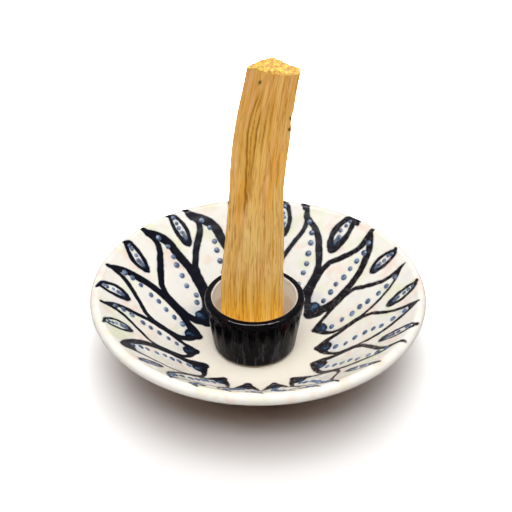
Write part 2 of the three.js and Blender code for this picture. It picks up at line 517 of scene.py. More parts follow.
# %% [markdown]
# A brush stroke is a row of round dabs. The distance of each vertex from the nearest dab's edge,
# positive inside, is stored on the mesh, and the glaze's material turns it into ink. So the edge
# stays sharp between vertices and can be roughened there, with no image texture.

# %% Dabs of the brush
CLEAR = -3.0  # distance stored where no stroke is near, in mm
INSIDE_DEPTH = 0.6  # vertices further than this under the dish's inside take no paint, in mm
WAVER_POINTS = 9
SEED = 31

hand = np.random.default_rng(SEED)
points = points_of(dish)
inside = points[:, 2] > surface_height(np.hypot(points[:, 0], points[:, 1])) - INSIDE_DEPTH
ink = np.full(len(points), CLEAR)
cobalt = np.full(len(points), CLEAR)


def dab(field, places, sizes):
    """Raises a distance field to that of a row of dabs."""
    lowest = places.min(0) - sizes.max() + CLEAR
    highest = places.max(0) + sizes.max() - CLEAR
    near = inside & (points > lowest).all(1) & (points < highest).all(1)
    gaps = np.linalg.norm(points[near][:, None] - places[None], axis=2)
    field[near] = np.maximum(field[near], (sizes[None] - gaps).max(1))


def waver(count, size):
    """A smooth random drift of about the given size along a stroke."""
    knots = hand.normal(0, size, WAVER_POINTS)
    return np.interp(np.linspace(0, WAVER_POINTS - 1, count), np.arange(WAVER_POINTS), knots)


print("paint can lie on", round(100 * np.mean(inside)), "% of the vertices")

# %% [markdown]
# Each leaf has a stroke along each side. It starts heavy at the base, where the full brush was set
# down, and ends lighter at the tip. Both ends of the leaf are filled in, with a pool of cobalt at
# the base, and a few blots lie where the brush was set down again.

# %% Brush strokes
DABS = 120
HEEL_WEIGHT = 0.78  # least half width of a stroke at a leaf's base, in mm
PLACE_WAVER = 0.13  # how far a stroke strays from its line, in mm
WEIGHT_WAVER = 0.1  # share by which its width varies
HEEL_FILL = 0.07  # shares of the length that are filled with ink, at the base and at the tip
TIP_FILL = 0.93
FILL_OVERLAP = 0.3  # how far the fill reaches under the strokes, in mm
POOL = (0.05, 0.11)  # shares of the length between which cobalt fills the base
POOL_DABS = 5
POOL_SIZES = (0.16, 0.36)  # least and greatest share of the leaf's half width that a dab of it has

# Blots where the brush was set down again: azimuth, radius and half width
BLOTS = [
    (341.6, 55.0, 1.0),
    (340.6, 54.0, 1.2),
    (321.2, 56.0, 0.8),
    (319.2, 56.0, 1.0),
    (317.9, 55.2, 1.1),
    (317.4, 54.2, 0.9),
]


def stroke(number, side, weight):
    """One side of a leaf: heavy at the base, even along the side, lighter at the tip."""
    share = np.linspace(0, 1, DABS)
    places = leaf_points(number, share, side)
    places[:, :2] += np.stack([waver(DABS, PLACE_WAVER), waver(DABS, PLACE_WAVER)], 1)
    at_base = max(weight, HEEL_WEIGHT) * np.interp(share, (0, 0.08, 0.22), (1.5, 1.4, 0))
    along = weight * np.interp(share, (0, 0.35, 0.75, 0.92, 1), (1.1, 1, 1, 0.9, 0.6))
    dab(ink, places, np.maximum(at_base, along) * (1 + waver(DABS, WEIGHT_WAVER)))


for number, leaf in enumerate(LEAVES):
    stroke(number, -1, leaf[7])
    stroke(number, 1, leaf[8])
    for ends in (np.linspace(0, HEEL_FILL, 8), np.linspace(TIP_FILL, 1, 8)):
        dab(ink, leaf_points(number, ends, 0), half_gap(number, ends) + FILL_OVERLAP)
    pool_share = np.linspace(*POOL, POOL_DABS)
    pool_sides = hand.normal(0.05, 0.12, POOL_DABS)
    pool_sizes = half_gap(number, pool_share) * hand.uniform(*POOL_SIZES, POOL_DABS)
    dab(cobalt, leaf_points(number, pool_share, pool_sides), pool_sizes)
for azimuth, radius, half_width in BLOTS:
    dab(ink, on_dish(np.array([radius]), np.array([azimuth])), np.array([half_width]))
print("ink covers", round(100 * np.mean(ink[inside] > 0)), "% of the inside's vertices")

# %% [markdown]
# Between the tips sit small buds: two short strokes that close at both ends, with a little cobalt
# near the inner end. They are laid out as the leaves are, by share and side.

# %% Buds
# Each bud: azimuths of its inner end and its tip, radii of both, its width in degrees and the
# brush's half width in mm
BUDS = [
    (8, 10.6, 45.4, 57.0, 4.8, 0.7),
    (34.5, 36.3, 45.4, 56.0, 4.8, 0.7),
    (62.0, 59.2, 45.0, 55.6, 5.4, 0.75),
    (85.0, 88.3, 45.4, 55.4, 5.4, 0.65),
    (107, 109.0, 44.6, 54.6, 5.6, 0.5),
    (135, 133.5, 44.6, 53.0, 4.6, 0.5),
    (157, 158.5, 45.4, 55.0, 5, 0.4),
    (178, 180, 45.4, 55.0, 5, 0.4),
    (198, 199, 45.4, 55.0, 5, 0.4),
    (220.5, 223, 44.5, 55.4, 4.6, 0.45),
    (245.8, 248.3, 44.8, 56.6, 4.6, 0.5),
    (271.0, 273.3, 45.2, 55.2, 4.8, 0.65),
    (296.0, 294.3, 45.4, 54.8, 4.8, 0.6),
    (322.4, 320.2, 44.6, 56.2, 6.2, 1.0),
    (348.8, 349.5, 44.8, 55.4, 5.8, 0.8),
]

BUD_DABS = 50
BUD_WAVER = 0.12
BUD_HOOK = 1.5  # degrees by which the tip hooks to the left


def bud_points(bud, share, side):
    """Points of a bud, as leaf_points: round at the inner end, and hooked to the left at the tip."""
    radius = bud[2] + (bud[3] - bud[2]) * share
    swell = np.sin(math.pi * np.clip(share, 0, 1) ** 0.8) ** 0.8
    hook = BUD_HOOK * np.clip((share - 0.85) / 0.15, 0, 1) ** 2
    azimuth = bud[0] + (bud[1] - bud[0]) * share**2 - side * swell * bud[4] / 2 + hook
    return on_dish(radius, azimuth)


shares = np.linspace(0, 1, BUD_DABS)
taper = np.interp(shares, (0, 0.2, 0.8, 1), (1.5, 1.2, 1.1, 0.6))
for bud in BUDS:
    for side in (-1, 1):
        dab(ink, bud_points(bud, shares, side), bud[5] * taper * (1 + waver(BUD_DABS, BUD_WAVER)))
    for ends in (np.linspace(-0.02, 0.1, 4), np.linspace(0.9, 0.98, 4)):
        dab(ink, bud_points(bud, ends, 0), bud[5] * np.linspace(1.1, 1.0, 4))
    dab(cobalt, bud_points(bud, np.linspace(0.16, 0.34, 4), 0), np.linspace(1.0, 0.7, 4))
print(len(BUDS), "buds")

# %% [markdown]
# Three more numbers are stored for the glaze. The cobalt has bled, and the wash says how blue the
# cream is inside a leaf or bud. Iron says how far the ink has thinned to brown, which it does on the
# side away from the back left. Bare says where the clay shows: on the foot and the underside, up to
# where the glaze begins below the rim.

# %% Washes
# Shares of a leaf's and a bud's length, and how blue the cream is there
LEAF_WASH = ((0, 0.08, 0.18, 0.26, 0.78, 0.87, 1), (1, 1, 0.4, 0, 0, 1, 1))
BUD_WASH = ((0, 0.3, 0.5, 1), (1.2, 0.9, 0.25, 0.35))
BUD_WASH_END = 0.9
BLACKEST = 50  # azimuth at which the ink has stayed black, in degrees
IRON_MOST = 0.7
BARE_CLAY = ((2.2, 3.0, 21, 27), (1, 0.85, 0.85, 0))  # heights in mm, and how bare the clay is

polar_radius = np.hypot(points[:, 0], points[:, 1])
polar_azimuth = np.degrees(np.arctan2(-points[:, 0], points[:, 1])) % 360
wash = np.zeros(len(points))
for number, leaf in enumerate(LEAVES):
    leaf_share = (polar_radius - leaf[3]) / (leaf[1] - leaf[3])
    left, right = leaf_sides(number, leaf_share)
    in_leaf = inside & (turn(polar_azimuth - left) < 0) & (turn(polar_azimuth - right) > 0)
    depth = np.interp(leaf_share, *LEAF_WASH)
    wash = np.where(in_leaf & (leaf_share < 1), depth * hand.uniform(0.6, 1.0), wash)
for bud in BUDS:
    bud_share = (polar_radius - bud[2]) / (bud[3] - bud[2])
    away = np.abs(turn(polar_azimuth - bud[0] - (bud[1] - bud[0]) * bud_share**2))
    in_bud = inside & (away < bud[4] / 2) & (bud_share > 0) & (bud_share < BUD_WASH_END)
    wash = np.where(in_bud, np.interp(bud_share, *BUD_WASH) * hand.uniform(0.8, 1.1), wash)
iron = IRON_MOST * (0.5 - 0.5 * np.cos(np.radians(polar_azimuth - BLACKEST))) ** 1.5
bare = np.where(inside, 0, np.interp(points[:, 2], *BARE_CLAY))
paint(dish, "ink", ink)
paint(dish, "cobalt", cobalt)
paint(dish, "iron", iron)
paint(dish, "bare", bare)
print("wash on", round(100 * np.mean(wash > 0.2)), "% of the vertices")

# %% [markdown]
# The dots are beads of thick slip, trailed on before glazing. One bead is modelled as a low dome,
# cut off a little below the surface that it will sit on, so that no gap shows at its edge.

# %% Bead of slip
DOT_RADIUS = 1.08
DOT_PROUD = 0.42
DOT_SUNK = 0.1

bpy.ops.object.select_all(action="DESELECT")
bead_size = {"segments": 12, "ring_count": 8, "radius": DOT_RADIUS * MM}
bpy.ops.mesh.primitive_uv_sphere_add(**bead_size, location=(0, 0, 0))
bead = bpy.context.object
bpy.ops.object.mode_set(mode="EDIT")
bpy.ops.mesh.select_all(action="SELECT")
bpy.ops.transform.resize(value=(1, 1, DOT_PROUD / DOT_RADIUS))
cut = {"plane_co": (0, 0, -DOT_SUNK * MM), "plane_no": (0, 0, 1)}
bpy.ops.mesh.bisect(**cut, use_fill=True, clear_inner=True)
bpy.ops.object.mode_set(mode="OBJECT")
bpy.ops.object.shade_smooth()
print("bead:", len(bead.data.polygons), "faces")

# %% [markdown]
# Each dot is a copy with its own mesh, tilted to lie on the wall, and all are joined into one piece.
# They run along each leaf between its middle and its right side, and along each bud.

# %% Raised dots
DOTS = 8  # on each leaf
DOT_SHARES = (0.19, 0.86)  # shares of a leaf's length at which the first and the last dot lie
DOT_SIZES = (0.88, 1.14)  # least and greatest size, as shares of the bead's
DOT_SIDE = 0.28  # share of the way from a leaf's middle to its right side
LEFT_DOT_SIDE = 0.42  # the same for the leaves on the left of the dish
LEFT_LEAVES = 130  # azimuth at which those end, in degrees
BUD_DOT_SHARES = (0.34, 0.5, 0.66, 0.8)
BUD_DOT_SIZES = (0.62, 0.82)
SLOPE_STEP = 0.2  # distance over which the wall's slope is measured, in mm


def lay_bead(place, size):
    """A copy of the bead that lies on the wall at a place, turned at random about its own axis."""
    copy = bead.copy()
    copy.data = bead.data.copy()
    scene.collection.objects.link(copy)
    radius = math.hypot(place[0], place[1])
    rise = float(surface_height(radius + SLOPE_STEP) - surface_height(radius - SLOPE_STEP))
    slope = math.atan2(rise, 2 * SLOPE_STEP)
    outwards = Matrix.Rotation(math.atan2(place[1], place[0]), 4, "Z")
    tilt = outwards @ Matrix.Rotation(-slope, 4, "Y")
    spin = Matrix.Rotation(hand.uniform(0, math.tau), 4, "Z")
    copy.data.transform(Matrix.Translation(Vector(place) * MM) @ tilt @ spin @ Matrix.Scale(size, 4))
    return copy


dot_places = []
for number, leaf in enumerate(LEAVES):
    row_side = (LEFT_DOT_SIDE if leaf[0] < LEFT_LEAVES else DOT_SIDE) + hand.normal(0, 0.04)
    for share in np.linspace(*DOT_SHARES, DOTS) + hand.normal(0, 0.008, DOTS):
        place = leaf_points(number, share, row_side + hand.normal(0, 0.05))
        dot_places.append((place, hand.uniform(*DOT_SIZES)))
for bud in BUDS:
    for share in BUD_DOT_SHARES:
        place = bud_points(bud, share + hand.normal(0, 0.02), hand.normal(0, 0.12))
        dot_places.append((place, hand.uniform(*BUD_DOT_SIZES)))

copies = [lay_bead(place, size) for place, size in dot_places]
bpy.data.objects.remove(bead)
bpy.ops.object.select_all(action="DESELECT")
for copy in copies:
    copy.select_set(True)
bpy.context.view_layer.objects.active = copies[0]
bpy.ops.object.join()
dots = bpy.context.object
dots.name = dots.data.name = "slip_dots"
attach(dots, "holder")
print(len(dot_places), "dots,", len(dots.data.polygons), "faces")

# %% [markdown]
# The blue of the dots has bled into the glaze around them, so the wash is raised there.

# %% Halos of the dots
HALO_INNER = 0.7  # a dot's blue has bled fully to this distance in mm, and not past the next
HALO_OUTER = 1.75
HALO_STRENGTH = 0.7

halo = np.zeros(len(points))
for place, size in dot_places:
    near = inside & (np.abs(points - place) < 2 * HALO_OUTER).all(1)
    gap = np.linalg.norm(points[near] - place, axis=1)
    halo[near] = np.maximum(halo[near], 1 - eased(gap, HALO_INNER, HALO_OUTER * size))
paint(dish, "wash", np.maximum(wash, halo * HALO_STRENGTH))
print("halos on", round(100 * np.mean(halo[inside] > 0)), "% of the inside's vertices")

# %% [markdown]
# The glaze is cream with faint peach, green and lavender clouds and a few specks. On the floor it is
# painted warmer, as painted bounce light from the walls, and the clay shows through on the underside.
# Three noises on Object coordinates make the clouds, so they run on without a seam.

# %% Cream of the dish
CREAM = (0.945, 0.915, 0.845)
FLOOR_BOUNCE_CREAM = (0.91, 0.835, 0.715)
FLOOR_BOUNCE_REACH = (0.014, 0.006)  # heights in m between which the painted bounce light on the floor comes in
PEACH = (0.93, 0.76, 0.65)
GREEN = (0.85, 0.87, 0.65)
LAVENDER = (0.83, 0.8, 0.83)
SPECK = (0.5, 0.36, 0.22)
CLAY = (0.4, 0.22, 0.13)

glaze = Finish("cream_glaze")
place = glaze.place()
clouds = glaze.noise(place, 120, 3, 0.6)
second_clouds = glaze.noise(place, 95, 2, 0.5)
third_clouds = glaze.noise(place, 160, 2, 0.5)
cream = glaze.mix(glaze.step(clouds, 0.47, 0.7) * 0.9, CREAM, PEACH)
cream = glaze.mix(glaze.step(second_clouds, 0.48, 0.72) * 0.9, cream, GREEN)
cream = glaze.mix(glaze.step(third_clouds, 0.54, 0.74) * 0.4, cream, LAVENDER)
level = glaze.node("SeparateXYZ", values={"Vector": place}, output="Z")
# painted warm bounce light on the dish's floor
cream = glaze.mix(glaze.step(level, *FLOOR_BOUNCE_REACH) * 0.85, cream, FLOOR_BOUNCE_CREAM)
specks = glaze.step(glaze.noise(place, 900, 2, 0.6), 0.74, 0.8)
cream = glaze.mix(specks * 0.3, cream, SPECK)
bare_clay = glaze.attribute("bare")
cream = glaze.mix(bare_clay + (second_clouds - 0.5) * bare_clay * 0.5, cream, CLAY)
print("cream:", len(glaze.tree.nodes), "nodes")

# %% [markdown]
# Over the cream come the blue wash, the ink and the cobalt pools. Noise moves a stroke's edge by a
# tenth of a millimetre or two, as a brush does on a dry body, and thins the brown ink along the way.
# The ink also stands a little proud, which a Bump node gives.

# %% Painting in the glaze
PALE_BLUE = (0.36, 0.47, 0.62)
POOL_BLUE = (0.2, 0.33, 0.52)
DEEP_BLUE = (0.012, 0.035, 0.075)
BLUE_STAIN = (0.24, 0.3, 0.4)  # what has bled from the black ink, and from the brown
BROWN_STAIN = (0.3, 0.22, 0.16)
INK = (0.004, 0.004, 0.01)
BROWN_INK = (0.026, 0.016, 0.014)

fray = glaze.noise(place, 1500, 3, 0.6)
drift = glaze.noise(place, 420, 2, 0.5)
ragged = (fray - 0.5) * 0.3 + (drift - 0.5) * 0.5
distance = glaze.attribute("ink") + ragged
pool = glaze.attribute("cobalt") + ragged * 1.4
iron_share = glaze.attribute("iron")
blue = glaze.attribute("wash")

tinted = glaze.mix(blue * glaze.step(drift, 0.25, 0.6) * 0.75, cream, PALE_BLUE)
deep_share = glaze.step(blue + (fray - 0.5) * 1.2, 0.8, 1.2)
tinted = glaze.mix(deep_share * 0.6, tinted, POOL_BLUE)
stain = glaze.mix(iron_share, BLUE_STAIN, BROWN_STAIN)
tinted = glaze.mix(glaze.step(distance, -0.6, 0.1) * 0.45, tinted, stain)
strong = glaze.mix(iron_share, INK, BROWN_INK)
density = glaze.step(distance, -0.14, 0.14)
thin = glaze.step(glaze.noise(place, 700, 3, 0.65), 0.46, 0.8) * iron_share * 0.45
painted = glaze.mix(density - density * thin, tinted, strong)
painted = glaze.mix(glaze.step(pool, -0.4, 0.3) * 0.85, painted, DEEP_BLUE)
painted = glaze.mix(glaze.step(pool, 0.2, 0.9) * 0.3, painted, POOL_BLUE)
relief = density * 0.6 + glaze.noise(place, 260, 2, 0.5) * 0.5 + fray * 0.08
dish.data.materials.append(
    glaze.apply(
        Base_Color=painted,
        Roughness=glaze.noise(place, 160, 2, 0.5) * 0.12 + 0.2,
        Specular_IOR_Level=0.035,
        Normal=glaze.bump(relief, 0.00012, 0.5),
    )
)
print("painted glaze:", len(glaze.tree.nodes), "nodes")

# %% [markdown]
# The dots are slate blue, with paler spots that are painted highlights. They are rougher than
# the glaze around them, because a smooth dome would shine like a pearl.

# %% Finish of the dots
DOT_DARK = (0.035, 0.06, 0.12)
DOT_SLATE = (0.1, 0.15, 0.26)
DOT_HIGHLIGHT_BLUE = (0.24, 0.33, 0.5)

slate = Finish("blue_slip")
place = slate.place()
mottle = slate.noise(place, 1100, 2, 0.6)
highlight_lumps = slate.noise(place, 450, 1, 0.5)
blue = slate.mix(slate.step(mottle, 0.3, 0.7), DOT_DARK, DOT_SLATE)
# painted highlights: pale spots on the dots, from the same lumps as their bump
blue = slate.mix(slate.step(highlight_lumps, 0.5, 0.7) * 0.7, blue, DOT_HIGHLIGHT_BLUE)
dots.data.materials.append(
    slate.apply(
        Base_Color=blue,
        Roughness=mottle * 0.15 + 0.35,
        Specular_IOR_Level=0.15,
        Normal=slate.bump(highlight_lumps, 0.0001, 0.4),
    )
)
print("blue slip:", len(slate.tree.nodes), "nodes")

# %% [markdown]
# The slip between the dish and the cup. It squeezed out in a thin bead when the cup was pressed
# on, and the glaze over it fired brown. It is spun as the dish is, and its outline is made uneven,
# because pressed slip never makes a true circle.

# %% Luting slip
CUP_AXIS = (-1.2, 1.3)
SLIP_THICKNESS = 0.5
SLIP_RADIUS = 13.49
SLIP_BEVEL = 0.5
SLIP_WAVER = 0.006  # share of the radius by which its outline strays
SLIP_DARK = (0.33, 0.22, 0.13)
SLIP_PALE = (0.6, 0.47, 0.32)

slip_arc = arc((SLIP_RADIUS - SLIP_BEVEL, 0), SLIP_BEVEL, 0, math.pi / 2, 5)
slip_section = [
    (0.0, 0.0),
    (SLIP_RADIUS / 2, 0.0),
    *slip_arc,
    (SLIP_RADIUS / 2, SLIP_THICKNESS),
    (0.0, SLIP_THICKNESS),
]
slip = spun("luting_bead", slip_section, 160)
points = points_of(slip)
turns = np.arctan2(points[:, 1], points[:, 0])
points[:, :2] *= (1 - SLIP_WAVER * (1 + np.sin(5 * turns) * np.sin(3 * turns + 1)))[:, None]
points += (*CUP_AXIS, FLOOR_TOP)
set_points(slip, points)
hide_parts("luting_slip")
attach(slip, "holder")

clay = Finish("fired_slip")
place = clay.place()
grit = clay.noise(place, 1800, 4, 0.65)
tone = clay.mix(clay.step(grit, 0.3, 0.7), SLIP_DARK, SLIP_PALE)
slip.data.materials.append(
    clay.apply(Base_Color=tone, Roughness=grit * 0.2 + 0.3, Normal=clay.bump(grit, 0.0001, 0.5))
)

# %% [markdown]
# The cup is a second thrown shape. Its lip is a little squarer than a circle, and the inside slopes
# in under it. Each point carries two numbers for the glazes: how far it lies on the cream side of
# the line where the black glaze outside meets the cream inside, and its height above the table.

# %% Cup
CUP_HEIGHT = 20.8
CUP_LIP = 1.4  # half the lip's thickness, as the dish's
CUP_FLOOR = 4.0
CUP_BASE = 14.29
CUP_ROUND = 1.5
BORE = 12.69
BORE_FLARE = 1.8
BORE_ROUND = 0.8
CUP_BOTTOM = FLOOR_TOP + SLIP_THICKNESS
CREAM_LINE = 1.3  # the cream glaze starts this far above the middle of the lip, in mm
SHOULDER_IN = 1.1  # below the lip the inside slopes in by this much
SHOULDER_DOWN = 4.0  # over this depth
LIP_SQUARE = 3.0  # 2 is a round lip, and more gives it a flatter top and tighter edges
DRIP_DEPTH = 0.05  # the runs of glaze down the wall stand out by this much

cup_lip_centre = (BORE + BORE_FLARE + CUP_LIP, CUP_HEIGHT - CUP_LIP)
cup_outer = wall_slope((CUP_BASE, 0), cup_lip_centre, CUP_LIP, -1)
cup_inner = wall_slope((BORE, CUP_FLOOR), cup_lip_centre, CUP_LIP, 1)
cup_outer_bend = bend((CUP_BASE, 0), CUP_ROUND, cup_outer, 8)
cup_inner_bend = bend((BORE, CUP_FLOOR), BORE_ROUND, cup_inner, 6)
cup_lip = []
for x, y in arc((0, 0), 1, cup_outer - math.pi / 2, cup_inner + math.pi / 2, 26):
    reach = CUP_LIP / (abs(x) ** LIP_SQUARE + abs(y) ** LIP_SQUARE) ** (1 / LIP_SQUARE)
    cup_lip.append((cup_lip_centre[0] + x * reach, cup_lip_centre[1] + y * reach))
inner_shoulder = (cup_lip[-1][0] - SHOULDER_IN, cup_lip[-1][1] - SHOULDER_DOWN)
cup_section = [
    (0.0, 0.0),
    *line((0.0, 0.0), cup_outer_bend[0], 4),
    *cup_outer_bend[1:],
    *line(cup_outer_bend[-1], cup_lip[0], 20),
    *cup_lip[1:],
    *line(cup_lip[-1], inner_shoulder, 6),
    *line(inner_shoulder, cup_inner_bend[-1], 12),
    *cup_inner_bend[::-1][1:],
    *line(cup_inner_bend[0], (0.0, CUP_FLOOR), 6),
]
cup = spun("stick_cup_glazed", cup_section, 320)
points = points_of(cup)
turns = np.arctan2(points[:, 1], points[:, 0])
radii = np.hypot(points[:, 0], points[:, 1])
height = points[:, 2].copy()
middle_at_floor = (BORE + CUP_BASE) / 2
wall_middle = middle_at_floor + (height / CUP_HEIGHT) * (cup_lip_centre[0] - middle_at_floor)
cream_side = np.minimum(wall_middle - radii, cup_lip_centre[1] + CREAM_LINE - height)
cream_side = np.where(height < CUP_FLOOR - 0.5, -2, cream_side)
outside = radii > wall_middle
drips = np.sin(11 * turns + 1) * np.sin(17 * turns) * 0.5 + 0.5
inward = DRIP_DEPTH * drips * np.clip(height / 6, 0, 1) * np.clip((CUP_HEIGHT - 2 - height) / 4, 0, 1)
points[:, :2] *= (1 - np.where(outside, inward, 0) / np.maximum(radii, 1))[:, None]
points += (*CUP_AXIS, CUP_BOTTOM)
set_points(cup, points)
paint(cup, "cream_side", cream_side)
paint(cup, "above_table", points[:, 2])
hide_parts("stick_cup")
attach(cup, "holder")

# %% [markdown]
# One material holds both glazes of the cup, because they meet in one line on the lip. The black has
# run down the wall in grey streaks and has faint red clouds. A thin brown line divides it from the
# cream, and painted shade browns the cream towards the cup's floor. Noise that is drawn out upwards
# makes the streaks, and bends the glints along them.

# %% Glazes of the cup
BLACK = (0.002, 0.0018, 0.003)
GREY_STREAK = (0.03, 0.03, 0.037)
RED_STREAK = (0.03, 0.008, 0.007)
INNER_CREAM = (1.0, 0.99, 0.96)
INNER_CLOUD = (0.98, 0.95, 0.9)
INNER_SHADE_BROWN = (0.5, 0.3, 0.16)  # painted shade: the cream darkens towards the cup's floor
LIP_BROWN = (0.06, 0.03, 0.02)
# Heights above the table in mm, between which the streaks and the wall's rougher glaze end towards
# the lip, and between which painted shade browns the inside towards its floor
STREAKS_END = (16.5, 18.5)
ROUGH_END = (17, 19)
INNER_SHADE_HEIGHTS = (16.5, 10.0)

black = Finish("black_glaze")
place = black.place()
tall = black.stretched(place, (1, 1, 0.05))
streaks = black.noise(tall, 520, 2, 0.5)
film = black.noise(tall, 1100, 2, 0.5)
above_table = black.attribute("above_table")
below_lip = 1 - black.step(above_table, *STREAKS_END)
glassy = black.mix(black.step(streaks, 0.55, 0.66) * below_lip, BLACK, GREY_STREAK)
glassy = black.mix(black.step(film, 0.58, 0.68) * below_lip * 0.6, glassy, GREY_STREAK)
glassy = black.mix(black.step(black.noise(place, 210, 2), 0.56, 0.7) * 0.6, glassy, RED_STREAK)
inner_clouds = black.step(black.noise(place, 60, 2), 0.4, 0.75)
inner_cream = black.mix(inner_clouds, INNER_CREAM, INNER_CLOUD)
# painted shade: the inside's cream browns towards the cup's floor, where little light reaches
inner_cream = black.mix(black.step(above_table, *INNER_SHADE_HEIGHTS) * 0.7, inner_cream, INNER_SHADE_BROWN)
side = black.attribute("cream_side") + (black.noise(place, 300, 2) - 0.5) * 0.12
brown_line = black.mix(black.step(side, -0.06, 0.02), glassy, LIP_BROWN)
whole = black.mix(black.step(side, 0.0, 0.12), brown_line, inner_cream)
waves = streaks * 0.7 + film * 0.3
rough_share = 1 - black.step(above_table, *ROUGH_END)
cup.data.materials.append(
    black.apply(
        Base_Color=whole,
        Roughness=film * 0.06 + rough_share * 0.16 + 0.05,
        Specular_IOR_Level=0.055,
        Normal=black.bump(waves, 0.0005, 0.6),
    )
)
print("cup rim", round(2 * (cup_lip_centre[0] + CUP_LIP), 1), "mm across")

# %% [markdown]
# The stick was split from a log, so its front is a flat torn face, its back has facets, and its
# grain runs up and bends to the right. A copy of the CAD solid has the right form but only a few
# long triangles. It is merged, and a voxel remesh gives it even faces of a third of a millimetre,
# which is fine enough to carve the grain as real relief.

# %% Stick form
STICK_VOXEL = 0.36
STICK_LENGTH = 104.7
STICK_WIDTH = 21.5
STICK_WAIST_WIDTH = 18.2
STICK_TOP_WIDTH = 16.6
STICK_NARROWS = (0.4, 0.62)  # shares of the length between which it narrows to its waist
STICK_NARROWS_AGAIN = (0.75, 1.0)  # and to its top
STICK_LEAN = 6.8
SEAT_GAP = 0.3  # under the stick's rough lower end
STICK_OFFSET = 0.8  # the stick stands this far left of the cup's axis
FRONT_OFFSET = 4.0  # and its front face this far in front of it
STICK_BOTTOM = CUP_BOTTOM + CUP_FLOOR + SEAT_GAP
STICK_X = CUP_AXIS[0] - STICK_OFFSET
STICK_FRONT = CUP_AXIS[1] - FRONT_OFFSET

bpy.ops.object.select_all(action="DESELECT")
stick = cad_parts["palo_santo_stick"].copy()
stick.data = stick.data.copy()
stick.parent = None
stick.data.materials.clear()
for key in list(stick.keys()):
    del stick[key]
stick.name = stick.data.name = "split_stick"
scene.collection.objects.link(stick)
stick.select_set(True)
bpy.context.view_layer.objects.active = stick
bpy.ops.object.mode_set(mode="EDIT")
bpy.ops.mesh.select_all(action="SELECT")
bpy.ops.mesh.remove_doubles(threshold=WELD * MM)
bpy.ops.object.mode_set(mode="OBJECT")
remesh = stick.modifiers.new("even_faces", "REMESH")
remesh.mode = "VOXEL"
remesh.voxel_size = STICK_VOXEL * MM
bpy.ops.object.modifier_apply(modifier=remesh.name)
print("stick:", len(stick.data.polygons), "faces")

# %% [markdown]
# Every mark on the wood follows the grain. So each vertex also gets its place in the straight
# stick, before it narrowed and leaned: across, deep and up, in millimetres. Noise that is drawn out
# along the third number becomes fibres, both in the relief here and in the colours later.

# %% Grain places
FINE_RELIEF = 0.1  # how much each kind of fibre stands out, in mm
BROAD_RELIEF = 0.2
TORN_RELIEF = 0.3
TORN_FROM = 0.25  # torn fibres show where their noise is above this
END_START = 2.8  # the broken end's roughness starts this far below the top, in mm
END_FADE = 1.6  # and is full this far above its start

points = points_of(stick)
up = np.clip(points[:, 2] - STICK_BOTTOM, 0, STICK_LENGTH)
share = up / STICK_LENGTH
width = STICK_WIDTH + (STICK_WAIST_WIDTH - STICK_WIDTH) * eased(share, *STICK_NARROWS)
width += (STICK_TOP_WIDTH - width) * eased(share, *STICK_NARROWS_AGAIN)
across = (points[:, 0] - STICK_X - STICK_LEAN * share**3) * STICK_WIDTH / width
deep = points[:, 1] - STICK_FRONT
grain = np.stack([across, deep, up], 1)


def fibre(scale, draw, seed, octaves=3):
    """Noise drawn out along the grain: scale is per mm across, and draw how long a fibre is."""
    offset = Vector((seed * 17.3, seed * 5.1, seed * 9.7))
    rows = grain * (scale, scale, scale / draw)
    return np.array([noise.fractal(Vector(row) + offset, 1.0, 2.0, octaves) for row in rows])


normals = np.empty(len(points) * 3)
stick.data.vertices.foreach_get("normal", normals)
normals = normals.reshape(-1, 3)
top_share = np.clip((up - STICK_LENGTH + END_START) / END_FADE, 0, 1) * np.clip(normals[:, 2], 0, 1)
side_share = 1 - np.clip(np.abs(normals[:, 2]) * 1.6, 0, 1)
fine = fibre(1.5, 24, 1)
broad = fibre(0.35, 30, 2, 2)
torn = fibre(0.8, 9, 3, 2)
relief = FINE_RELIEF * fine + BROAD_RELIEF * broad + TORN_RELIEF * np.clip(torn - TORN_FROM, 0, None)
print("fibres from", round(float(relief.min()), 2), "to", round(float(relief.max()), 2), "mm")

# %% [markdown]
# Besides the fibres the face has single marks: two long cracks that follow the bend, shorter and
# fainter ones, and three small dark knots. Each is a soft groove about a line or a point in the
# grain's own places, so it bends with the stick. The wood beside a crack is amber.

# %% Cracks and knots
# Each crack: its places up the grain, its places across, half width and depth, all in mm
CRACKS = [
    ((50, 60, 72, 80, 86, 93, 98), (-4.1, -4.1, -4.5, -5.2, -5.4, -4.4, -2.8), 0.34, 0.34),
    ((56, 67, 75, 84, 92), (-2.5, -2.4, -2.1, -2.2, -1.4), 0.3, 0.3),
    ((52, 64, 78), (-3.3, -3.3, -3.5), 0.2, 0.2),
    ((70, 80, 90, 99), (-3.6, -3.9, -3.6, -1.8), 0.22, 0.22),
    ((64, 73, 80, 94), (5.5, 4.1, 2.5, 2.4), 0.24, 0.2),
    ((72, 84, 96), (0.3, 0.5, 1.3), 0.24, 0.2),
    ((84, 97), (6.8, 7.6), 0.22, 0.18),
    ((34, 50), (-5.3, -5.0), 0.22, 0.16),
    ((60, 78), (7.8, 7.2), 0.2, 0.16),
    ((66, 88), (-6.6, -7.4), 0.2, 0.16),
    ((8, 26), (0.6, 0.3), 0.2, 0.14),
    ((10, 30), (-3.4, -3.2), 0.2, 0.14),
]
# Each small knot: its place across and up, its radius and its depth, all in mm
KNOTS = [(-4.3, 99.7, 0.45, 0.4), (10.1, 87.6, 0.45, 0.3), (9.9, 83.6, 0.45, 0.3)]
AMBER_REACH = 1.0  # the wood is amber this far beside a crack, in mm
CRACK_WAVER = 0.08  # how far a crack strays from its places
CRACK_TAPER = 5  # length over which its ends fade

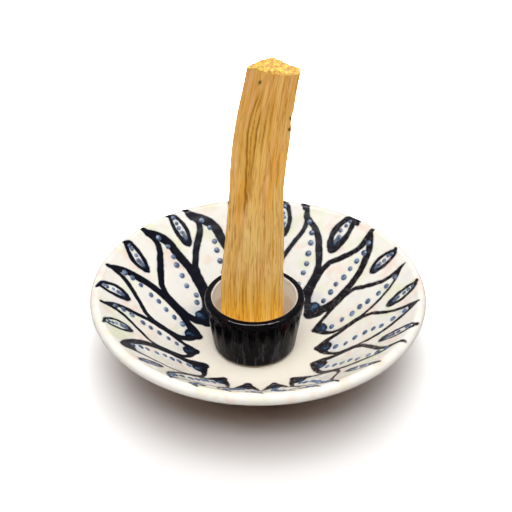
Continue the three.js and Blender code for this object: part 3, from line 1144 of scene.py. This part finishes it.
front_share = np.clip(-normals[:, 1] * 1.5, 0, 1)
crack_depth = np.zeros(len(points))
amber = np.zeros(len(points))
for heights, places, half_width, depth in CRACKS:
    middle = np.interp(up, heights, places) + CRACK_WAVER * np.sin(up * 0.9 + heights[0])
    ends = np.clip((up - heights[0]) / CRACK_TAPER, 0, 1)
    ends = ends * np.clip((heights[-1] - up) / CRACK_TAPER, 0, 1)
    broken_up = np.clip(0.7 + 0.9 * torn, 0.2, 1)
    profile = np.exp(-(((across - middle) / half_width) ** 2))
    crack_depth = np.maximum(crack_depth, depth * ends * broken_up * profile)
    beside = np.exp(-(((across - middle) / AMBER_REACH) ** 2))
    amber = np.maximum(amber, ends * beside * np.clip(depth / 0.25, 0, 1))
crack_depth *= front_share
knot = np.zeros(len(points))
knot_depth = np.zeros(len(points))
for knot_across, knot_up, radius, depth in KNOTS:
    gap = np.hypot(across - knot_across, (up - knot_up) * 0.8)
    dimple = np.exp(-((gap / radius) ** 2)) * side_share
    knot = np.maximum(knot, np.clip(dimple * 1.6, 0, 1))
    knot_depth = np.maximum(knot_depth, depth * dimple)
print("crack marks on", int((crack_depth > 0.1).sum()), "vertices")

# %% [markdown]
# Now the mesh is carved. Fibres, cracks and knots go inwards along the normals, and a chip comes out
# of the right edge. Below the middle both edges have split away a little. The broken end is rough,
# and its left shoulder stands up.

# %% Carving
CHIP = (10.6, 87.0)  # its place across and up, in mm
CHIP_DEPTH = 0.38
LEFT_SPLIT = 1.45  # what has split away from the left edge and from the right, in mm
RIGHT_SPLIT = 0.45
SPLIT_UP = 46.0  # height at which most is gone, and how far that spreads
SPLIT_SPREAD = 14.0
SHOULDER_RISE = 1.1
SHOULDER_LEFT = 8.0
SHOULDER_WIDTH = 4.0
END_RISE = 0.4  # nothing stands further above the stick's length than this
FIBRE_LEVEL = 0.16  # fibres that stand out less than this are carved in

chip = CHIP_DEPTH * np.exp(-(((across - CHIP[0]) / 1.2) ** 2) - ((up - CHIP[1]) / 2.6) ** 4)
inward = np.clip(FIBRE_LEVEL - relief, 0, None) * side_share + crack_depth + knot_depth
points -= normals * inward[:, None]
points[:, 0] -= chip
split_away = np.exp(-(((up - SPLIT_UP) / SPLIT_SPREAD) ** 2)) / (STICK_WIDTH / 2)
points[:, 0] += split_away * np.clip(-across, 0, None) * LEFT_SPLIT
points[:, 0] -= split_away * np.clip(across, 0, None) * RIGHT_SPLIT
end_places = [Vector((a * 0.9, d * 1.1, 4.2)) for a, d, _ in grain]
splinter = np.array([noise.fractal(end_place, 0.8, 2.1, 4) for end_place in end_places])
shoulder = SHOULDER_RISE * np.exp(-(((across + SHOULDER_LEFT) / SHOULDER_WIDTH) ** 2))
points[:, 2] += np.clip((up - STICK_LENGTH + 5) / 3, 0, 1) * shoulder
points[:, 2] -= top_share * np.clip(0.3 - 0.9 * splinter, 0, 1.0)
points[:, 2] = np.minimum(points[:, 2], STICK_BOTTOM + STICK_LENGTH + END_RISE)
set_points(stick, points)
print("carved up to", round(float(inward.max()), 2), "mm deep")

# %% [markdown]
# The marks and the tones along the stick are stored on the mesh, so that the wood's colours follow
# the carving exactly.

# %% Marks for the wood's colours
layer = stick.data.attributes.new("grain", "FLOAT_VECTOR", "POINT")
layer.data.foreach_set("vector", (grain * MM).astype(np.float32).ravel())
paint(stick, "crack", np.clip(crack_depth * 5, 0, 1))
paint(stick, "amber", amber * front_share)
paint(stick, "knot", knot)
paint(stick, "base_tone", 1 - eased(up, 10, 30))
# painted light: how much paler the lower stick is made, where the cup and the dish shade it
paint(stick, "low_painted_light", 1 - eased(up, 40, 65))
paint(stick, "top_tone", eased(up, 70, 98))
paint(stick, "end_grain", np.clip(top_share * 2.5, 0, 1))
bpy.ops.object.shade_smooth()
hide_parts("palo_santo_stick")
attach(stick, "stick")
print("stored:", ", ".join(stick.data.attributes.keys()))

# %% [markdown]
# Palo santo is a pale gold wood with pink and orange clouds. Noises drawn out along the grain give
# faint bands, broken streaks and short dashes. The lower part is painted paler, as painted light where
# the cup and the dish shade it, and the foot is more golden and the top more tan. The broken end is
# orange and yellow with brown specks, cracks are brown with amber beside them, and knots are nearly
# black. Broad tones are mixed in first, and single marks last.

# %% Wood
GOLD = (1.0, 0.61, 0.15)
TAN = (0.94, 0.52, 0.14)
ROSE = (1.0, 0.55, 0.29)
ORANGE = (1.0, 0.49, 0.06)
FOOT_GOLD = (1.0, 0.62, 0.05)
STREAK = (0.66, 0.25, 0.02)
PAINTED_LIGHT_PALE = (1.0, 0.68, 0.25)
TAN_TOP = (0.82, 0.42, 0.12)
STRAW = (1.0, 0.77, 0.34)
PORE = (0.46, 0.15, 0.01)
CRACK = (0.36, 0.12, 0.003)
AMBER = (0.82, 0.42, 0.03)  # the wood beside a crack
KNOT = (0.03, 0.012, 0.005)
END_ORANGE = (0.74, 0.4, 0.015)
END_BROWN = (0.42, 0.19, 0.01)
END_YELLOW = (0.88, 0.63, 0.035)

wood = Finish("split_wood")
along = wood.attribute("grain", "Vector")
bands = wood.noise(wood.stretched(along, (1, 1, 0.02)), 330, 2, 0.5)
streaks = wood.noise(wood.stretched(along, (1, 1, 0.03)), 1300, 2, 0.5)
fibres = wood.noise(wood.stretched(along, (1, 1, 0.04)), 2500, 2, 0.5)
dashes = wood.noise(wood.stretched(along, (1, 1, 0.09)), 1600, 2, 0.5)
clouds = wood.noise(wood.stretched(along, (1, 1, 0.3)), 120, 2, 0.5)
blush = wood.noise(wood.stretched(along, (1, 1, 0.2)), 180, 2, 0.5)

colour = wood.mix(wood.step(bands, 0.42, 0.62) * 0.6, GOLD, TAN)
colour = wood.mix(wood.step(blush, 0.46, 0.66) * 0.75, colour, ROSE)
colour = wood.mix(wood.step(clouds, 0.46, 0.66) * 0.75, colour, ORANGE)
# painted light: the lower stick is made paler where the cup and the dish shade it
colour = wood.mix(wood.attribute("low_painted_light") * 0.5, colour, PAINTED_LIGHT_PALE)
colour = wood.mix(wood.attribute("top_tone") * 0.5, colour, TAN_TOP)
colour = wood.mix(wood.attribute("base_tone") * 0.8, colour, FOOT_GOLD)
colour = wood.mix(wood.step(streaks, 0.53, 0.64) * 0.28, colour, STREAK)
colour = wood.mix(wood.step(streaks, 0.48, 0.34) * 0.45, colour, STRAW)
colour = wood.mix(wood.step(fibres, 0.52, 0.6) * 0.6, colour, STREAK)
colour = wood.mix(wood.step(dashes, 0.6, 0.7) * 0.5, colour, PORE)
colour = wood.mix(wood.attribute("amber") * 0.5, colour, AMBER)
colour = wood.mix(wood.attribute("crack") * 0.92, colour, CRACK)
grit = wood.noise(wood.place(), 900, 3, 0.65)
broken = wood.mix(wood.step(grit, 0.5, 0.62) * 0.8, END_ORANGE, END_BROWN)
broken = wood.mix(wood.step(grit, 0.5, 0.4), broken, END_YELLOW)
broken = wood.mix(wood.step(dashes, 0.58, 0.66) * 0.9, broken, PORE)
colour = wood.mix(wood.attribute("end_grain"), colour, broken)
colour = wood.mix(wood.attribute("knot"), colour, KNOT)
grooves = streaks * 0.5 + fibres * 0.5
stick.data.materials.append(
    wood.apply(
        Base_Color=colour,
        Roughness=fibres * 0.2 + 0.6,
        Specular_IOR_Level=0.2,
        Normal=wood.bump(grooves, 0.0002, 0.5),
    )
)
print("wood:", len(wood.tree.nodes), "nodes")
